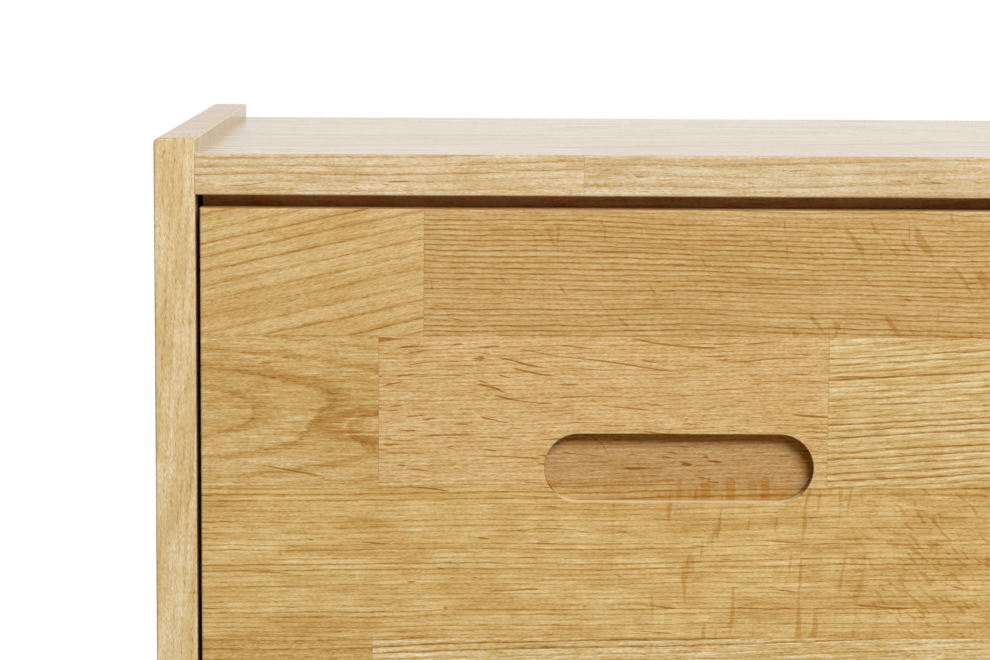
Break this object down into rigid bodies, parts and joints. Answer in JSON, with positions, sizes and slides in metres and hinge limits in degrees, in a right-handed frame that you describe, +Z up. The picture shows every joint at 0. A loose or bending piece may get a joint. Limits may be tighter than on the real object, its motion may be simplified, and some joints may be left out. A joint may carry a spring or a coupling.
{
  "type": "drawer unit",
  "caption": "Low solid oak chest with one tall inset drawer, a blind stadium finger recess and sides that stand proud of the top.",
  "frame": {"origin": "under the middle of the chest, on the plane of its foot pads", "axes": "+X across the front, to the right for someone facing it; +Y from the front to the back; +Z up"},
  "size_m": [0.485, 0.34, 0.304],
  "materials": {
    "oak_front": "clear matt oil on planed oak staves",
    "oak_side": "clear matt oil on planed oak staves",
    "oak_top": "clear matt oil on planed oak staves",
    "oak_box": "clear oiled oak",
    "oak_veneer": "oak veneered plywood",
    "birch_ply": "sanded birch plywood",
    "dowel": "plain beech",
    "runner_steel": "zinc plated sheet",
    "cage_steel": "plain pressed strip",
    "ball_steel": "polished balls",
    "screw_zinc": "bright zinc",
    "felt": "pressed felt"
  },
  "bodies": {
    "carcass": {"left_side": "oak_side", "right_side": "oak_side", "top_panel": "oak_top", "bottom_panel": "oak_top", "stop_rail": "oak_box", "back_panel": "oak_veneer", "carcass_dowels": "dowel", "back_screws": "screw_zinc", "rail_screws": "screw_zinc", "foot_pads": "felt", "left_cabinet_runner": "runner_steel", "right_cabinet_runner": "runner_steel", "cabinet_runner_screws": "screw_zinc"},
    "drawer": {"drawer_front": "oak_front", "box_front": "oak_box", "box_back": "oak_box", "box_left_side": "oak_box", "box_right_side": "oak_box", "box_floor": "birch_ply", "front_screws": "screw_zinc", "left_drawer_runner": "runner_steel", "right_drawer_runner": "runner_steel", "drawer_runner_screws": "screw_zinc"},
    "left_middle_runner": {"left_middle_runner": "runner_steel"},
    "left_outer_bearing": {"left_outer_cage": "cage_steel", "left_outer_balls": "ball_steel"},
    "left_inner_bearing": {"left_inner_cage": "cage_steel", "left_inner_balls": "ball_steel"},
    "right_middle_runner": {"right_middle_runner": "runner_steel"},
    "right_outer_bearing": {"right_outer_cage": "cage_steel", "right_outer_balls": "ball_steel"},
    "right_inner_bearing": {"right_inner_cage": "cage_steel", "right_inner_balls": "ball_steel"}
  },
  "joints": [
    {"name": "drawer_slide", "type": "slide", "parent": "carcass", "child": "drawer", "axis": [0, -1, 0], "range_m": [0, 0.3]},
    {"name": "left_middle_runner_slide", "type": "slide", "parent": "carcass", "child": "left_middle_runner", "axis": [0, -1, 0], "range_m": [0, 0.15]},
    {"name": "left_outer_bearing_slide", "type": "slide", "parent": "carcass", "child": "left_outer_bearing", "axis": [0, -1, 0], "range_m": [0, 0.075]},
    {"name": "left_inner_bearing_slide", "type": "slide", "parent": "carcass", "child": "left_inner_bearing", "axis": [0, -1, 0], "range_m": [0, 0.225]},
    {"name": "right_middle_runner_slide", "type": "slide", "parent": "carcass", "child": "right_middle_runner", "axis": [0, -1, 0], "range_m": [0, 0.15]},
    {"name": "right_outer_bearing_slide", "type": "slide", "parent": "carcass", "child": "right_outer_bearing", "axis": [0, -1, 0], "range_m": [0, 0.075]},
    {"name": "right_inner_bearing_slide", "type": "slide", "parent": "carcass", "child": "right_inner_bearing", "axis": [0, -1, 0], "range_m": [0, 0.225]}
  ],
  "couplings": [
    {"joint": "left_middle_runner_slide", "follows": "drawer_slide", "ratio": 0.5},
    {"joint": "left_outer_bearing_slide", "follows": "drawer_slide", "ratio": 0.25},
    {"joint": "left_inner_bearing_slide", "follows": "drawer_slide", "ratio": 0.75},
    {"joint": "right_middle_runner_slide", "follows": "drawer_slide", "ratio": 0.5},
    {"joint": "right_outer_bearing_slide", "follows": "drawer_slide", "ratio": 0.25},
    {"joint": "right_inner_bearing_slide", "follows": "drawer_slide", "ratio": 0.75}
  ]
}
